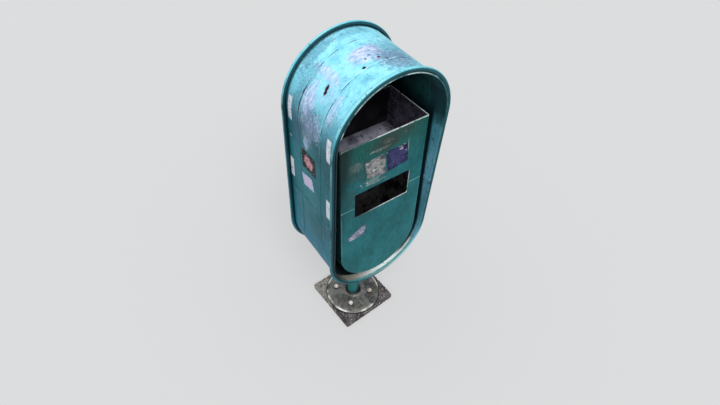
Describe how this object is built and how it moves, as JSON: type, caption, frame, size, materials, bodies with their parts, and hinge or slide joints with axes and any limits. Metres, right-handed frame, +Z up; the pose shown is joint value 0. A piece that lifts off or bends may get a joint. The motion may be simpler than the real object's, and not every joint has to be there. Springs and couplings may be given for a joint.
{
  "type": "street litter bin",
  "caption": "Post-mounted street litter bin with a round-topped mailbox-like hood, a slotted front panel, an open tray and a container that tilts forward for emptying.",
  "frame": {"origin": "centre of the underside of the paving slab, on the axis of the post", "axes": "+Z up; the front panel and the open hood face -Y; +X is to the right of someone facing the bin's back, so the lock and the reflective strips are on the -X side"},
  "size_m": [0.4902, 0.325, 1.463],
  "materials": {
    "casing_paint": "weathered turquoise paint with scrapes, satin",
    "container_paint": "aged green-teal paint, satin",
    "post_paint": "green paint, satin",
    "tray_paint": "worn dull paint over bare sheet",
    "flange_iron": "weathered, dull, polished at its edge",
    "fastener_zinc": "zinc plated, dull",
    "liner_zinc": "galvanised sheet with a faint spangle",
    "slab_stone": "rough dark speckled concrete",
    "buffer_rubber": "black moulded rubber",
    "bush_nylon": "natural nylon",
    "reflector_film": "worn silvery reflective film"
  },
  "bodies": {
    "stand": {"base_slab": "slab_stone", "anchor_bolts": "fastener_zinc", "base_flange": "flange_iron", "anchor_washers": "fastener_zinc", "anchor_nuts": "fastener_zinc", "post": "post_paint", "saddle_plate": "post_paint", "saddle_gussets": "post_paint", "saddle_bolts": "fastener_zinc", "saddle_washers": "fastener_zinc", "saddle_nuts": "fastener_zinc", "lower_wrap": "casing_paint", "upper_wrap": "casing_paint", "front_rim": "casing_paint", "rear_rim": "casing_paint", "back_panel": "casing_paint", "rest_rail": "casing_paint", "rail_rivets": "fastener_zinc", "rest_buffers": "buffer_rubber", "buffer_nuts": "fastener_zinc", "hinge_brackets": "casing_paint", "hinge_rod": "fastener_zinc", "hinge_clips": "fastener_zinc", "tilt_stops": "buffer_rubber", "reflector_strips": "reflector_film", "lock_housing": "fastener_zinc", "lock_nut": "fastener_zinc"},
    "container": {"front_panel": "container_paint", "cradle_wrap": "container_paint", "cradle_back": "container_paint", "back_sill": "container_paint", "tray_floor": "tray_paint", "hinge_lugs": "container_paint", "hinge_bushes": "bush_nylon", "keeper": "container_paint", "liner": "liner_zinc", "liner_handle": "liner_zinc"},
    "cam": {"lock_core": "fastener_zinc", "lock_cam": "fastener_zinc", "cam_screw": "fastener_zinc"}
  },
  "joints": [
    {"name": "container_tilt", "type": "hinge", "parent": "stand", "child": "container", "pos_m": [0, -0.1195, 0.43], "axis": [1, 0, 0], "range_deg": [0, 60]},
    {"name": "lock_turn", "type": "hinge", "parent": "stand", "child": "cam", "pos_m": [-0.229, 0.124, 1.114], "axis": [-1, 0, 0], "range_deg": [0, 90]}
  ]
}
